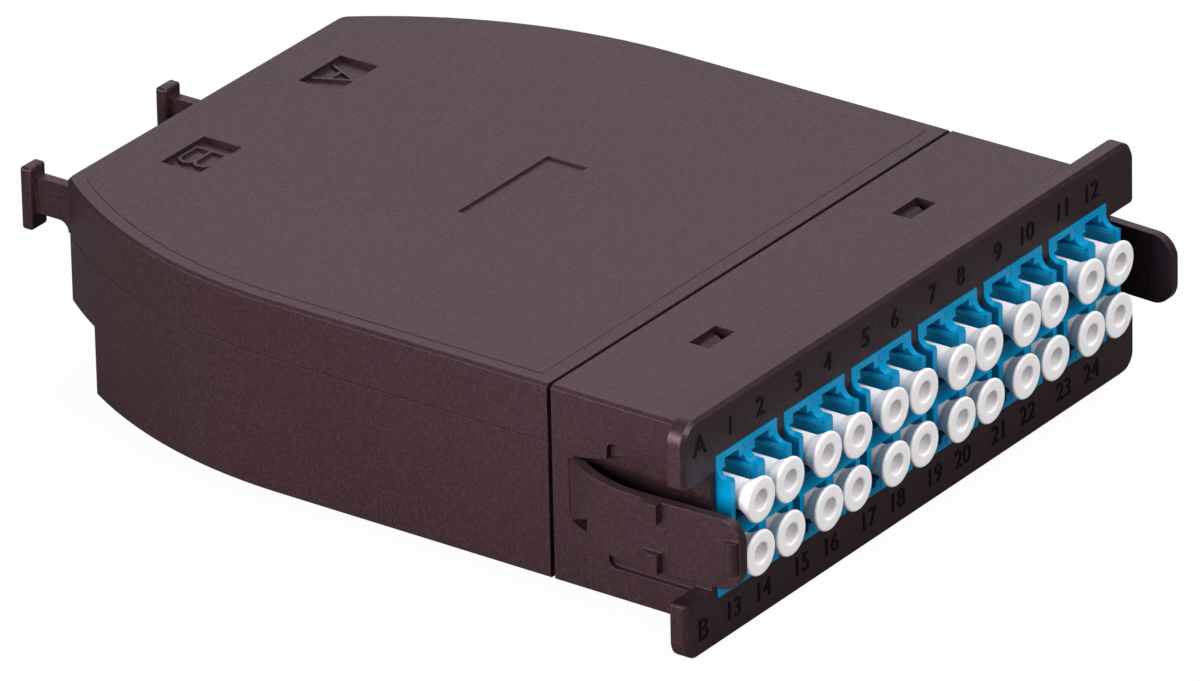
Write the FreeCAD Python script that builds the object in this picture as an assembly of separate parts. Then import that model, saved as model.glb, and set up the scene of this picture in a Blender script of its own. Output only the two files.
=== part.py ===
import FreeCAD, Part
import math
import os

# Fibre cassette: a moulded case with 24 LC ports on its front plate and two MPO ports at its rear.
# Millimetres. The origin is the centre of the plane in which the rear face of the face plate bears on a
# panel. +X is to the right seen from the front, +Y points to the rear and +Z is up.

Vector = FreeCAD.Vector
X_AXIS = Vector(1, 0, 0)
Y_AXIS = Vector(0, 1, 0)
Z_AXIS = Vector(0, 0, 1)

# ---- face plate -------------------------------------------------------------------------------------
PLATE_W = 97.5
PLATE_H = 31.9
PLATE_T = 2.4
PLATE_CORNER_R = 2.7
PLATE_BEVEL = 0.5         # along the plate's front edges
NOTCH_TOP = 7.4           # the notch at each end that a latch arm passes through
NOTCH_BOTTOM = -8.1
NOTCH_CHAMFER = {1: 0.8, -1: 0.25}

# ---- case -------------------------------------------------------------------------------------------
CASE_HALF_W = 43.3
CASE_HALF_H = 13.15
CASE_REAR = 106.1         # outer face of the upper rear wall
STEP_REAR = 99.2          # outer face of the lower rear wall
STEP_Z = -3.6             # underside of the overhang above the lower rear wall
SIDE_CURVE_START = 63.4   # the sides are straight up to here and then follow an arc inwards
SIDE_CURVE_R = 70.0
REAR_CORNER_R = 2.0
WALL = 2.0
HOUSING_SIDE_WALL = 1.4
HOUSING_DEPTH = 21.1
SEAM_GAP = 0.6            # open joint between the front housing and the rear shells
SHELL_FRONT = HOUSING_DEPTH + SEAM_GAP
PARTING_Z = 5.3
EDGE_CHAMFER = 0.4        # along the top edges
LOW_CHAMFER = 0.2         # along the bottom edges
PARTING_GAP = 0.08
PANEL_INSET = 2.2         # the cover's flat is raised a little inside this margin
PANEL_RISE = 0.05
LIP_T = 0.9               # lip of the bottom shell that locates the cover
LIP_H = 1.6
FIT = 0.05
LAP = 0.5                 # how far shapes reach into one another before they are joined
OVERRUN = 1.0             # how far a cutting shape runs past the face it opens

# ---- snap tongues of the rear shells, in windows of the front housing -------------------------------
TONGUE_X = 21.7
TONGUE_W = 12.0
TONGUE_T = 1.3
TONGUE_FRONT = 9.6
TONGUE_ROOT = 6.0         # how far the tongue runs back inside its shell
WINDOW_W = 5.6
WINDOW_Y = (11.0, 13.9)
TOOTH_W = 4.0
TOOTH_DEPTH = 0.75        # the tooth's flat lies this far below the outer face
TOOTH_FLAT = 0.8

# ---- rear shell details -----------------------------------------------------------------------------
MARK_W = 9.0              # recess around each of the marks A and B
MARK_D = 6.0
MARK_DEPTH = 0.7
MARK_Y = 95.8
MARK_X = 14.4
LETTER_H = 4.8
LETTER_W = 4.4
LETTER_STROKE = 0.45
LETTER_RISE = 0.35
CROSSBAR_W = 0.6          # crossbar of the A, as shares of the letter's half width and half height
CROSSBAR_Z = 0.2
BOWL_STEPS = 6            # straight strokes in each bowl of the B
LABEL_X = (-10.1, 9.05)
LABEL_Y = (53.1, 59.2)
LABEL_DEPTH = 0.3
POST_X = (-28.0, 0.0)     # T posts on the rear edge, one beside each MPO port
POST_WEB_T = 1.5
POST_HEAD_W = 3.3
POST_HEAD_T = 1.7
POST_HEAD_Z = 4.5
POST_HEAD_ROUND = 0.45
POST_WEB_TOP = 11.8
POST_WEB_BOTTOM = 6.8
POST_REAR = 112.9
PIN_R = 1.25              # cover pins in bosses of the bottom shell
BOSS_R = 2.6
BOSS_TOP = 3.0
BOSS_PLACES = ((-36.0, 52.0), (36.0, 52.0), (-29.0, 88.0), (29.0, 88.0))

# ---- latches ----------------------------------------------------------------------------------------
ARM_ARC_R = 20.2          # outer face of the arm: an arc from its root, then a straight run
ARM_ARC_Y = 5.4
ARM_CREST_X = 48.2
ARM_T = 1.3
ARM_HALF_H = 4.7
ARM_ROOT_HALF_H = 3.9
ARM_NECK_X = 43.9          # the arm is narrower inboard of this, where it enters the side wall
TAB_FRONT = -9.7
TAB_X = 47.5
TAB_CORNER_R = 3.0
ROOT_X = 42.9             # hinge line of the arm
ROOT_CLEARANCE = 0.05
RELIEF = ((18.6, -4.0), (13.9, -3.45), (13.9, -1.7))
BARB_H = 2.6
BARB_RISE = 0.9
BARB_Y = (1.6, 3.0, 4.5)  # sheer front face, end of the flat, end of the ramp
GRIP_R = 0.85
GRIP_PROUD = 0.15          # the rib's axis lies this far outside the outer face
GRIP_Y = -8.5
GRIP_HALF_H = 2.1
RECESS_REAR = 12.9        # shallow recess of the side wall behind the arm
RECESS_TOP = 7.7
RECESS_BOTTOM = -9.1
RECESS_DEPTH = 0.8
RECESS_R = 1.0
POCKET_DEPTH = 1.1        # deeper pocket at the arm's root
POCKET_REAR_HALF_H = 4.1
POCKET_FRONT_HALF_H = 5.4
POCKET_FRONT = 8.0
POCKET_SPLAY = 0.25
SOCKET_HOLD = 0.52        # how far round the hinge's socket closes, as a share of its radius

# ---- LC adapters ------------------------------------------------------------------------------------
ADAPTERS = 6
ADAPTER_PITCH = 14.33
ADAPTER_W = 12.8
ADAPTER_BODY_W = 12.0     # width behind the plate
ADAPTER_H = 19.0
ADAPTER_REAR = 19.4
RIM_Y = -2.5              # front of the rim
LIP_Y = -4.65             # front edge of the port walls
LIP_Z = 6.65              # top edge of the port walls
SCOOP_R = 1.5             # hollow corner between the rim and the port walls
FLANGE_H = 20.6
FLANGE_T = 1.2
PORT_PITCH = 6.25
ROW_Z = 3.62
PORT_HALF = 2.35
LATCH_WIDE = (2.35, 3.95) # half width and top of the wide part of the latch slot
LATCH_NARROW = (1.5, 5.0)
LEDGE_Z = (2.5, 3.0)      # ledges on the port's side walls that hold the plug's latch
LEDGE_Y = (-4.2, 2.5)
LEDGE_PROUD = 0.5
LEDGE_ROOT = 0.1
MID_WALL = (6.4, 8.0)
BARREL_R = 1.3
BARREL_REACH = 3.8
SLEEVE_R = 0.8
SLEEVE_BORE_R = 0.625
SLEEVE_L = 6.8
DIVIDER_Y = -3.8
DIVIDER_HALF_H = 1.3
DIVIDER_BEVEL = 0.5
PLATE_HOLE_CLEARANCE = 0.08

# ---- dust caps --------------------------------------------------------------------------------------
CAP_HALF = 2.27           # square part, which grips the port
CAP_GRIP_Y = 0.8          # front of the square part
CAP_REAR = 5.6
CAP_NECK_R = 1.95
CAP_CORNER_R = 0.6
CAP_FLANGE_R = 2.95
CAP_FLANGE_Y = -6.1       # rear face of the flange
CAP_FLANGE_T = 0.6
CAP_ROUND = 0.27
CAP_MOUTH_ROUND = 0.28
CAP_FLARE_R = 2.75        # the neck widens to the flange in a cone
CAP_FLARE_Y = -4.5
CAP_HOLE_R = 1.3
CAP_HOLE_DEPTH = 2.6
CAP_BORE_R = 1.5
CAP_BORE_FRONT = -1.2
CAP_SETTING = 0.2         # the caps aren't all pushed in to the same depth

# ---- inner LC plugs ---------------------------------------------------------------------------------
PLUG_HALF = 2.25
PLUG_FRONT = 12.0
PLUG_REAR = 24.0
LEVER_W = 2.0
LEVER_FRONT = ((2.0, -0.2), (0.6, -0.2), (0.6, 0.7))      # side of the latch lever, from the plug's corners
LEVER_REAR = ((-1.0, 1.9), (-1.0, 1.2))
FERRULE_R = 0.62
FERRULE_GAP = 0.2
BOOT_R = (1.9, 1.0)
BOOT_REAR = 34.0

# ---- MPO adapters and plugs -------------------------------------------------------------------------
MPO_X = 14.2
MPO_Z = 4.8
MPO_W = 14.8
MPO_H = 9.6
MPO_REAR = 109.1
MPO_FRONT = 91.0
MPO_PORT_W = 12.6
MPO_PORT_H = 7.6
MPO_MID = (100.0, 101.2)
MPO_KEY_W = 3.4
MPO_KEY_H = 0.5
MPO_FLANGE_W = 17.6
MPO_FLANGE_H = 11.6
MPO_FLANGE_T = 1.9
MPO_FERRULE_W = 6.4
MPO_FERRULE_H = 2.5
MPO_FERRULE_OUT = 0.4
MPO_PLUG_W = 12.0
MPO_PLUG_H = 7.0
MPO_PLUG_CORNER_R = 1.0
MPO_PLUG_FRONT = 88.0
MPO_BOOT_R = (2.6, 1.7)
MPO_BOOT_FRONT = 84.5

# ---- harness ----------------------------------------------------------------------------------------
FIBRE_R = 0.45
TRUNK_R = 1.5
FURCATION = (78.0, 83.0)  # moulded block in which the trunk splits into twelve fibres
FURCATION_W = 6.6
FURCATION_H = 4.6
LAYERS = 3                # the fibres leave the block in three layers of four
COLUMN_PITCH = 1.3
LAYER_PITCH = 1.15
FIBRE_TURN = (46.0, 59.0) # the sideways run of each fibre lies between these
FIBRE_STAGGER = 0.9       # further back for the fibres that come from further away
FIBRE_RISE_END = 72.5


def box(x_range, y_range, z_range):
    """Box between two limits on each axis."""
    low = Vector(min(x_range), min(y_range), min(z_range))
    size = [abs(r[1] - r[0]) for r in (x_range, y_range, z_range)]
    return Part.makeBox(size[0], size[1], size[2], low)


def centred_box(width, height, y_range, x=0.0, z=0.0):
    """Box of a width and height about a line parallel to Y."""
    return box((x - width / 2, x + width / 2), y_range, (z - height / 2, z + height / 2))


def prism(points, direction):
    """Straight-sided prism from its corner points."""
    return Part.Face(Part.makePolygon(points + points[:1])).extrude(direction)


def cylinder(radius, y_range, x=0.0, z=0.0):
    """Cylinder along Y."""
    return Part.makeCylinder(radius, y_range[1] - y_range[0], Vector(x, y_range[0], z), Y_AXIS)


def cone(radii, y_range, x=0.0, z=0.0):
    """Cone along Y, from the first radius to the second."""
    return Part.makeCone(radii[0], radii[1], y_range[1] - y_range[0], Vector(x, y_range[0], z), Y_AXIS)


def fused(first, others):
    """One solid of the first shape and the others."""
    return first.fuse(list(others)).removeSplitter()


def edges_along(shape, axis, test):
    """Straight edges parallel to an axis whose middle passes a test."""
    found = []
    for edge in shape.Edges:
        if not isinstance(edge.Curve, (Part.Line, Part.LineSegment)):
            continue
        run = edge.Vertexes[-1].Point - edge.Vertexes[0].Point
        if run.Length > 1e-6 and abs(abs(run.normalize().dot(axis)) - 1) < 1e-6:
            if test(edge.CenterOfMass):
                found.append(edge)
    return found


def case_block(inset, front, rear, z_range, corner_r=0.0):
    """Block with the rear shells' outline, moved inwards by the inset; rear is its own rear face."""
    radius = SIDE_CURVE_R - inset
    half = CASE_HALF_W - inset
    centre_x = CASE_HALF_W - SIDE_CURVE_R

    def on_arc(y):
        return centre_x + math.sqrt(radius ** 2 - (y - SIDE_CURVE_START) ** 2)

    z = z_range[0]
    edges = []
    for side in (1, -1):
        start = Vector(side * half, SIDE_CURVE_START, z)
        middle_y = (SIDE_CURVE_START + rear) / 2
        middle = Vector(side * on_arc(middle_y), middle_y, z)
        end = Vector(side * on_arc(rear), rear, z)
        edges.append(Part.LineSegment(Vector(side * half, front, z), start).toShape())
        edges.append(Part.Arc(start, middle, end).toShape())
    edges.append(Part.LineSegment(Vector(on_arc(rear), rear, z), Vector(-on_arc(rear), rear, z)).toShape())
    edges.append(Part.LineSegment(Vector(-half, front, z), Vector(half, front, z)).toShape())
    wire = Part.Wire(Part.__sortEdges__(edges))
    block = Part.Face(wire).extrude(Vector(0, 0, z_range[1] - z))
    if corner_r > 0:
        block = block.makeFillet(corner_r, edges_along(block, Z_AXIS, lambda p: p.y > rear - 1))
    return block


def chamfer_rim(block, z, size):
    """Chamfer every edge of a block's flat at the height z, apart from its straight front edge."""
    rim = []
    for edge in block.Edges:
        heights = [v.Z for v in edge.Vertexes]
        if all(abs(h - z) < 1e-6 for h in heights) and edge.CenterOfMass.y > SHELL_FRONT + 0.01:
            rim.append(edge)
    return block.makeChamfer(size, rim)


def stroke(start, end, z_range, width):
    """Straight stroke of a letter, seen from above, with square ends."""
    run = Vector(end[0] - start[0], end[1] - start[1], 0)
    along = Vector(run).normalize() * (width / 2)
    across = Vector(-along.y, along.x, 0)
    a = Vector(start[0], start[1], z_range[0]) - along
    b = Vector(end[0], end[1], z_range[0]) + along
    return prism([a + across, b + across, b - across, a - across], Vector(0, 0, z_range[1] - z_range[0]))


def letter(name, x, y, z_range):
    """Raised letter A or B that is read from the rear."""
    half_w = LETTER_W / 2
    half_h = LETTER_H / 2
    if name == "A":
        lines = [((-half_w, -half_h), (0, half_h)), ((half_w, -half_h), (0, half_h)),
                 ((-half_w * CROSSBAR_W, -half_h * CROSSBAR_Z),
                  (half_w * CROSSBAR_W, -half_h * CROSSBAR_Z))]
    else:
        bowl = half_h / 2
        inner = half_w - bowl
        lines = [((-half_w, -half_h), (-half_w, half_h))]
        lines += [((-half_w, level), (inner, level)) for level in (half_h, 0, -half_h)]
        for middle in (bowl, -bowl):
            angles = [math.pi * (0.5 - step / BOWL_STEPS) for step in range(BOWL_STEPS + 1)]
            rim = [(inner + bowl * math.cos(a), middle + bowl * math.sin(a)) for a in angles]
            lines += list(zip(rim, rim[1:]))
    strokes = [stroke((x - a[0], y - a[1]), (x - b[0], y - b[1]), z_range, LETTER_STROKE) for a, b in lines]
    return fused(strokes[0], strokes[1:])


def snap_tongue(x, up):
    """Tongue with a tooth that runs from a rear shell into the front housing; up is 1 or -1."""
    under = CASE_HALF_H - WALL - FIT
    plate = box((x - TONGUE_W / 2, x + TONGUE_W / 2), (TONGUE_FRONT, SHELL_FRONT + TONGUE_ROOT),
                (up * under, up * (under - TONGUE_T)))
    top = CASE_HALF_H - TOOTH_DEPTH
    rear = WINDOW_Y[1] - FIT
    side = [(rear, under - LAP), (rear, top), (rear - TOOTH_FLAT, top), (WINDOW_Y[0] + FIT, under),
            (WINDOW_Y[0] + FIT, under - LAP)]
    tooth = prism([Vector(x - TOOTH_W / 2, y, up * z) for y, z in side], X_AXIS * TOOTH_W)
    bridge = box((x - TONGUE_W / 2, x + TONGUE_W / 2), (SHELL_FRONT, SHELL_FRONT + TONGUE_ROOT),
                 (up * (under - TONGUE_T), up * (CASE_HALF_H - WALL + FIT)))
    return fused(plate, [tooth, bridge])


def tab_profile(grow, y_front, y_rear, half_h):
    """Side outline of the latch, extruded across it: a bar with two rounded front corners."""
    bar = box((-grow, grow), (y_front, y_rear), (-half_h, half_h))
    return bar.makeFillet(TAB_CORNER_R, edges_along(bar, X_AXIS, lambda p: p.y < y_front + 0.01))


def arm_edge(offset):
    """The arm's outer edge in plan, moved inwards by an offset: hinge end, arc middle, crest, tab end."""
    centre = Vector(ARM_CREST_X - ARM_ARC_R, ARM_ARC_Y, 0)
    radius = ARM_ARC_R - offset
    root_angle = math.acos((ROOT_X - centre.x) / (ARM_ARC_R - ARM_T / 2))
    points = [centre + Vector(radius * math.cos(a), radius * math.sin(a), 0)
              for a in (root_angle, root_angle / 2, 0.0)]
    points.append(Vector(TAB_X - offset, TAB_FRONT, 0))
    return points


def latch_root():
    """Centre of the hinge line in plan."""
    outer, inner = arm_edge(0.0)[0], arm_edge(ARM_T)[0]
    return (outer + inner) * 0.5


def latch():
    """Latch for the right-hand end: curved leaf, tab, two barbs and a grip rib."""
    outer = arm_edge(0.0)
    inner = arm_edge(ARM_T)
    wire = Part.Wire(Part.__sortEdges__([
        Part.Arc(outer[0], outer[1], outer[2]).toShape(),
        Part.LineSegment(outer[2], outer[3]).toShape(),
        Part.LineSegment(outer[3], inner[3]).toShape(),
        Part.LineSegment(inner[3], inner[2]).toShape(),
        Part.Arc(inner[2], inner[1], inner[0]).toShape(),
        Part.LineSegment(inner[0], outer[0]).toShape()]))
    leaf = Part.Face(wire).extrude(Z_AXIS * (2 * ARM_HALF_H))
    leaf.translate(Z_AXIS * -ARM_HALF_H)
    leaf = leaf.common(tab_profile(2 * ARM_CREST_X, TAB_FRONT, CASE_REAR, ARM_HALF_H))
    for up in (1, -1):
        leaf = leaf.cut(box((0, ARM_NECK_X), (ARM_ARC_Y, HOUSING_DEPTH),
                            (up * ARM_ROOT_HALF_H, up * PLATE_H)))
    leaf = leaf.cut(prism([Vector(ROOT_X, y, z) for y, z in RELIEF], X_AXIS * ARM_CREST_X))
    root = latch_root()
    knuckle = Part.makeCylinder(ARM_T / 2, 2 * ARM_ROOT_HALF_H,
                                Vector(root.x, root.y, -ARM_ROOT_HALF_H), Z_AXIS)
    parts = [knuckle]
    for up in (1, -1):
        z = up * ARM_HALF_H
        face = ARM_CREST_X - LAP
        tip = ARM_CREST_X + BARB_RISE
        plan = [Vector(face, BARB_Y[0], z), Vector(tip, BARB_Y[0], z), Vector(tip, BARB_Y[1], z),
                Vector(ARM_CREST_X, BARB_Y[2], z), Vector(face, BARB_Y[2], z)]
        parts.append(prism(plan, Z_AXIS * (-up * BARB_H)))
    slope = (ARM_CREST_X - TAB_X) / (ARM_ARC_Y - TAB_FRONT)
    grip_x = TAB_X + slope * (GRIP_Y - TAB_FRONT)
    bar = Part.makeCylinder(GRIP_R, 2 * GRIP_HALF_H,
                            Vector(grip_x + GRIP_PROUD, GRIP_Y, -GRIP_HALF_H), Z_AXIS)
    inside = box((grip_x - 2 * GRIP_R, grip_x - ARM_T / 2), (GRIP_Y - 2 * GRIP_R, GRIP_Y + 2 * GRIP_R),
                 (-PLATE_H, PLATE_H))
    parts.append(bar.cut(inside))
    return fused(leaf, parts)


def latch_seat(side):
    """Space cut from the front housing for one latch: recess, pocket and hinge socket."""
    out = side * (CASE_HALF_W + OVERRUN)
    recess = box((side * (CASE_HALF_W - RECESS_DEPTH), out), (0, RECESS_REAR), (RECESS_BOTTOM, RECESS_TOP))
    recess = recess.makeFillet(RECESS_R, edges_along(recess, X_AXIS, lambda p: p.y > RECESS_REAR - 0.01))
    root = latch_root()
    front_half = POCKET_FRONT_HALF_H + POCKET_SPLAY * (RECESS_REAR - POCKET_FRONT)
    outline = [(root.y + LAP, POCKET_REAR_HALF_H), (POCKET_FRONT, front_half),
               (POCKET_FRONT, -front_half), (root.y + LAP, -POCKET_REAR_HALF_H)]
    inner_x = side * (CASE_HALF_W - POCKET_DEPTH)
    pocket = prism([Vector(inner_x, y, z) for y, z in outline], X_AXIS * (side * (POCKET_DEPTH + OVERRUN)))
    pocket = pocket.cut(box((0, out), (root.y, HOUSING_DEPTH), (-PLATE_H, PLATE_H)))
    socket_r = ARM_T / 2 + ROOT_CLEARANCE
    socket = Part.makeCylinder(socket_r, 2 * (ARM_ROOT_HALF_H + ROOT_CLEARANCE),
                               Vector(side * root.x, root.y, -ARM_ROOT_HALF_H - ROOT_CLEARANCE), Z_AXIS)
    mouth = box((side * root.x, out), (root.y - socket_r, root.y + SOCKET_HOLD * socket_r),
                (-ARM_ROOT_HALF_H - ROOT_CLEARANCE, ARM_ROOT_HALF_H + ROOT_CLEARANCE))
    return recess.fuse([pocket, socket, mouth])


def adapter_x(index):
    """Centre of an adapter, counted from the left from 0."""
    return (index - (ADAPTERS - 1) / 2) * ADAPTER_PITCH


def port_places(x):
    """Port centres of the adapter at x with the side its latch slot is on: upper pair, lower pair."""
    return [(x + side * PORT_PITCH / 2, row * ROW_Z, row) for row in (1, -1) for side in (-1, 1)]


def port_block(x, z, up, y_range):
    """Space of one LC port: a square with the stepped slot of the plug's latch above it."""
    square = centred_box(2 * PORT_HALF, 2 * PORT_HALF, y_range, x, z)
    wide = box((x - LATCH_WIDE[0], x + LATCH_WIDE[0]), y_range, (z, z + up * LATCH_WIDE[1]))
    narrow = box((x - LATCH_NARROW[0], x + LATCH_NARROW[0]), y_range, (z, z + up * LATCH_NARROW[1]))
    return square.fuse([wide, narrow])


def adapter_front(x):
    """Part of an adapter in front of the panel: the rim, scooped forwards into the port walls."""
    half = ADAPTER_H / 2
    left = x - ADAPTER_W / 2
    bend = SCOOP_R * (1 - math.sqrt(0.5))
    scoop = [(RIM_Y, LIP_Z + SCOOP_R), (RIM_Y - bend, LIP_Z + bend), (RIM_Y - SCOOP_R, LIP_Z)]
    edges = []
    for up in (1, -1):
        arc_top, arc_mid, arc_end = [Vector(left, y, up * z) for y, z in scoop]
        corners = [Vector(left, 0, up * half), Vector(left, RIM_Y, up * half), arc_top]
        corners_front = [arc_end, Vector(left, LIP_Y, up * LIP_Z), Vector(left, LIP_Y, up * DIVIDER_HALF_H),
                         Vector(left, DIVIDER_Y, up * (DIVIDER_HALF_H - DIVIDER_BEVEL))]
        for run in (corners, corners_front):
            edges += [Part.LineSegment(a, b).toShape() for a, b in zip(run, run[1:])]
        edges.append(Part.Arc(arc_top, arc_mid, arc_end).toShape())
    for y, z in ((DIVIDER_Y, DIVIDER_HALF_H - DIVIDER_BEVEL), (0, half)):
        edges.append(Part.LineSegment(Vector(left, y, z), Vector(left, y, -z)).toShape())
    return Part.Face(Part.Wire(Part.__sortEdges__(edges))).extrude(X_AXIS * ADAPTER_W)


def lc_adapter(index):
    """Quad LC adapter: four double-ended ports with a barrel for an alignment sleeve in each."""
    x = adapter_x(index)
    body = centred_box(ADAPTER_BODY_W, ADAPTER_H, (-LAP, ADAPTER_REAR), x)
    flange = centred_box(ADAPTER_BODY_W, FLANGE_H, (FIT, FIT + FLANGE_T), x)
    solid = fused(adapter_front(x), [body, flange])
    for px, pz, up in port_places(x):
        for y_range in ((LIP_Y - 1, MID_WALL[0]), (MID_WALL[1], ADAPTER_REAR + 1)):
            solid = solid.cut(port_block(px, pz, up, y_range))
    details = []
    for px, pz, up in port_places(x):
        details.append(cylinder(BARREL_R, (MID_WALL[0] - BARREL_REACH, MID_WALL[1] + BARREL_REACH), px, pz))
        for side in (1, -1):
            wall = px + side * PORT_HALF
            details.append(box((wall + side * LEDGE_ROOT, wall - side * LEDGE_PROUD), LEDGE_Y,
                               (pz + up * LEDGE_Z[0], pz + up * LEDGE_Z[1])))
    solid = fused(solid, details)
    middle = sum(MID_WALL) / 2
    for px, pz, _ in port_places(x):
        seat = (middle - SLEEVE_L / 2 - FIT, middle + SLEEVE_L / 2 + FIT)
        solid = solid.cut(cylinder(SLEEVE_R + FIT, seat, px, pz))
        solid = solid.cut(cylinder(SLEEVE_BORE_R + FIT, (MID_WALL[0] - 5, MID_WALL[1] + 5), px, pz))
    return solid


def dust_cap(index):
    """Dust cap of the port with this index, counted from 0 along the upper row and then the lower."""
    row = 1 if index < 2 * ADAPTERS else -1
    place = index % (2 * ADAPTERS)
    x = adapter_x(place // 2) + (place % 2 - 0.5) * PORT_PITCH
    z = row * ROW_Z
    out = CAP_SETTING * (0.5 + 0.5 * math.sin(2.4 * index + 0.6))
    grip = centred_box(2 * CAP_HALF, 2 * CAP_HALF, (CAP_GRIP_Y - out, CAP_REAR - out), x, z)
    grip = grip.makeFillet(CAP_CORNER_R, edges_along(grip, Y_AXIS, lambda p: True))
    neck = cylinder(CAP_NECK_R, (CAP_FLANGE_Y - out, CAP_REAR - out), x, z)
    front = CAP_FLANGE_Y - CAP_FLANGE_T - out
    flange = cylinder(CAP_FLANGE_R, (front, CAP_FLANGE_Y - out), x, z)
    flange = flange.makeFillet(CAP_ROUND, [e for e in flange.Edges if isinstance(e.Curve, Part.Circle)])
    flare = cone((CAP_FLARE_R, CAP_NECK_R), (CAP_FLANGE_Y - out, CAP_FLARE_Y - out), x, z)
    cap = fused(grip, [neck, flange, flare])
    hole = cylinder(CAP_HOLE_R, (front - 1, front + CAP_HOLE_DEPTH), x, z)
    bore = cylinder(CAP_BORE_R, (CAP_BORE_FRONT - out, CAP_REAR + 1), x, z)
    cap = cap.cut(hole).cut(bore)
    mouth = [e for e in cap.Edges if isinstance(e.Curve, Part.Circle)
             and abs(e.Curve.Radius - CAP_HOLE_R) < 1e-6 and abs(e.CenterOfMass.y - front) < 1e-6]
    return cap.makeFillet(CAP_MOUTH_ROUND, mouth)


def sleeve_set(index):
    """The four alignment sleeves of one adapter."""
    middle = sum(MID_WALL) / 2
    span = (middle - SLEEVE_L / 2, middle + SLEEVE_L / 2)
    sleeves = []
    for px, pz, _ in port_places(adapter_x(index)):
        sleeves.append(cylinder(SLEEVE_R, span, px, pz).cut(cylinder(SLEEVE_BORE_R, span, px, pz)))
    return Part.makeCompound(sleeves)


def lc_plug_set(index):
    """The four inner LC plugs of one adapter: housing, latch, ferrule and boot in one piece each."""
    plugs = []
    for px, pz, up in port_places(adapter_x(index)):
        housing = centred_box(2 * PLUG_HALF, 2 * PLUG_HALF, (PLUG_FRONT, PLUG_REAR), px, pz)
        side = [(PLUG_FRONT + y, PLUG_HALF + z) for y, z in LEVER_FRONT]
        side += [(PLUG_REAR + y, PLUG_HALF + z) for y, z in LEVER_REAR]
        lever = prism([Vector(px - LEVER_W / 2, y, pz + up * z) for y, z in side], X_AXIS * LEVER_W)
        ferrule = cylinder(FERRULE_R, (sum(MID_WALL) / 2 + FERRULE_GAP / 2, PLUG_FRONT + OVERRUN), px, pz)
        boot = cone(BOOT_R, (PLUG_REAR - LAP, BOOT_REAR), px, pz)
        plugs.append(fused(housing, [lever, ferrule, boot]))
    return Part.makeCompound(plugs)


def mpo_adapter(side):
    """MPO adapter in the rear wall; side is 1 for port A and -1 for port B."""
    x = side * MPO_X
    seat = CASE_REAR - WALL - FIT
    body = centred_box(MPO_W, MPO_H, (MPO_FRONT, MPO_REAR), x, MPO_Z)
    flange = centred_box(MPO_FLANGE_W, MPO_FLANGE_H, (seat - MPO_FLANGE_T, seat), x, MPO_Z)
    solid = fused(body, [flange])
    for y_range in ((MPO_FRONT - 1, MPO_MID[0]), (MPO_MID[1], MPO_REAR + 1)):
        solid = solid.cut(centred_box(MPO_PORT_W, MPO_PORT_H, y_range, x, MPO_Z))
        solid = solid.cut(box((x - MPO_KEY_W / 2, x + MPO_KEY_W / 2), y_range,
                              (MPO_Z, MPO_Z + MPO_PORT_H / 2 + MPO_KEY_H)))
    window = centred_box(MPO_FERRULE_W + 2 * FIT, MPO_FERRULE_H + 2 * FIT,
                         (MPO_MID[0] - OVERRUN, MPO_MID[1] + OVERRUN), x, MPO_Z)
    return solid.cut(window)


def mpo_plug(side):
    """Inner MPO plug: housing with its ferrule and boot."""
    x = side * MPO_X
    housing = centred_box(MPO_PLUG_W, MPO_PLUG_H, (MPO_PLUG_FRONT, MPO_MID[0] - FIT), x, MPO_Z)
    housing = housing.makeFillet(MPO_PLUG_CORNER_R, edges_along(housing, Y_AXIS, lambda p: True))
    ferrule = centred_box(MPO_FERRULE_W, MPO_FERRULE_H,
                          (MPO_MID[0] - OVERRUN, MPO_MID[1] + MPO_FERRULE_OUT), x, MPO_Z)
    boot = cone((MPO_BOOT_R[1], MPO_BOOT_R[0]), (MPO_BOOT_FRONT, MPO_PLUG_FRONT + LAP), x, MPO_Z)
    return fused(housing, [ferrule, boot])


def rounded_path(points):
    """Straight runs joined by tangent arcs whose radius is set by the shorter run and the turn."""
    edges = []
    here = points[0]
    for before, corner, after in zip(points, points[1:], points[2:]):
        run_in = corner - before
        run_out = after - corner
        turn = run_in.getAngle(run_out)
        if turn < 1e-4:
            continue
        setback = 0.45 * min(run_in.Length, run_out.Length)
        radius = setback / math.tan(turn / 2)
        unit_in = Vector(run_in).normalize()
        unit_out = Vector(run_out).normalize()
        start = corner - unit_in * setback
        end = corner + unit_out * setback
        inward = (unit_out - unit_in).normalize()
        depth = radius / math.cos(turn / 2) - radius
        edges.append(Part.LineSegment(here, start).toShape())
        edges.append(Part.Arc(start, corner + inward * depth, end).toShape())
        here = end
    edges.append(Part.LineSegment(here, points[-1]).toShape())
    return Part.Wire(edges)


def tube(points, radius):
    """Round tube along a rounded path."""
    start = points[0]
    section = Part.Wire(Part.Circle(start, points[1] - start, radius).toShape())
    return rounded_path(points).makePipeShell([section], True, False)


def fibre_points(side, order):
    """Corners of one fibre's path, counted from the port furthest from its MPO port."""
    ports = sorted(adapter_x(i) + s * PORT_PITCH / 2 for i in range(ADAPTERS) for s in (-1, 1))
    column, layer = divmod(order, LAYERS)
    x_end = side * (MPO_X + (column - 1.5) * COLUMN_PITCH)
    z_row = side * ROW_Z
    drop = (layer - 1) * LAYER_PITCH
    shift = max(0, 2 - column) * FIBRE_STAGGER
    x_port = side * ports[order]
    return [Vector(x_port, BOOT_REAR + FIT, z_row),
            Vector(x_port, FIBRE_TURN[0] + shift, z_row + drop),
            Vector(x_end, FIBRE_TURN[1] + shift, z_row + drop),
            Vector(x_end, FIBRE_RISE_END, MPO_Z + drop),
            Vector(x_end, FURCATION[0] + FIT, MPO_Z + drop)]


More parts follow.
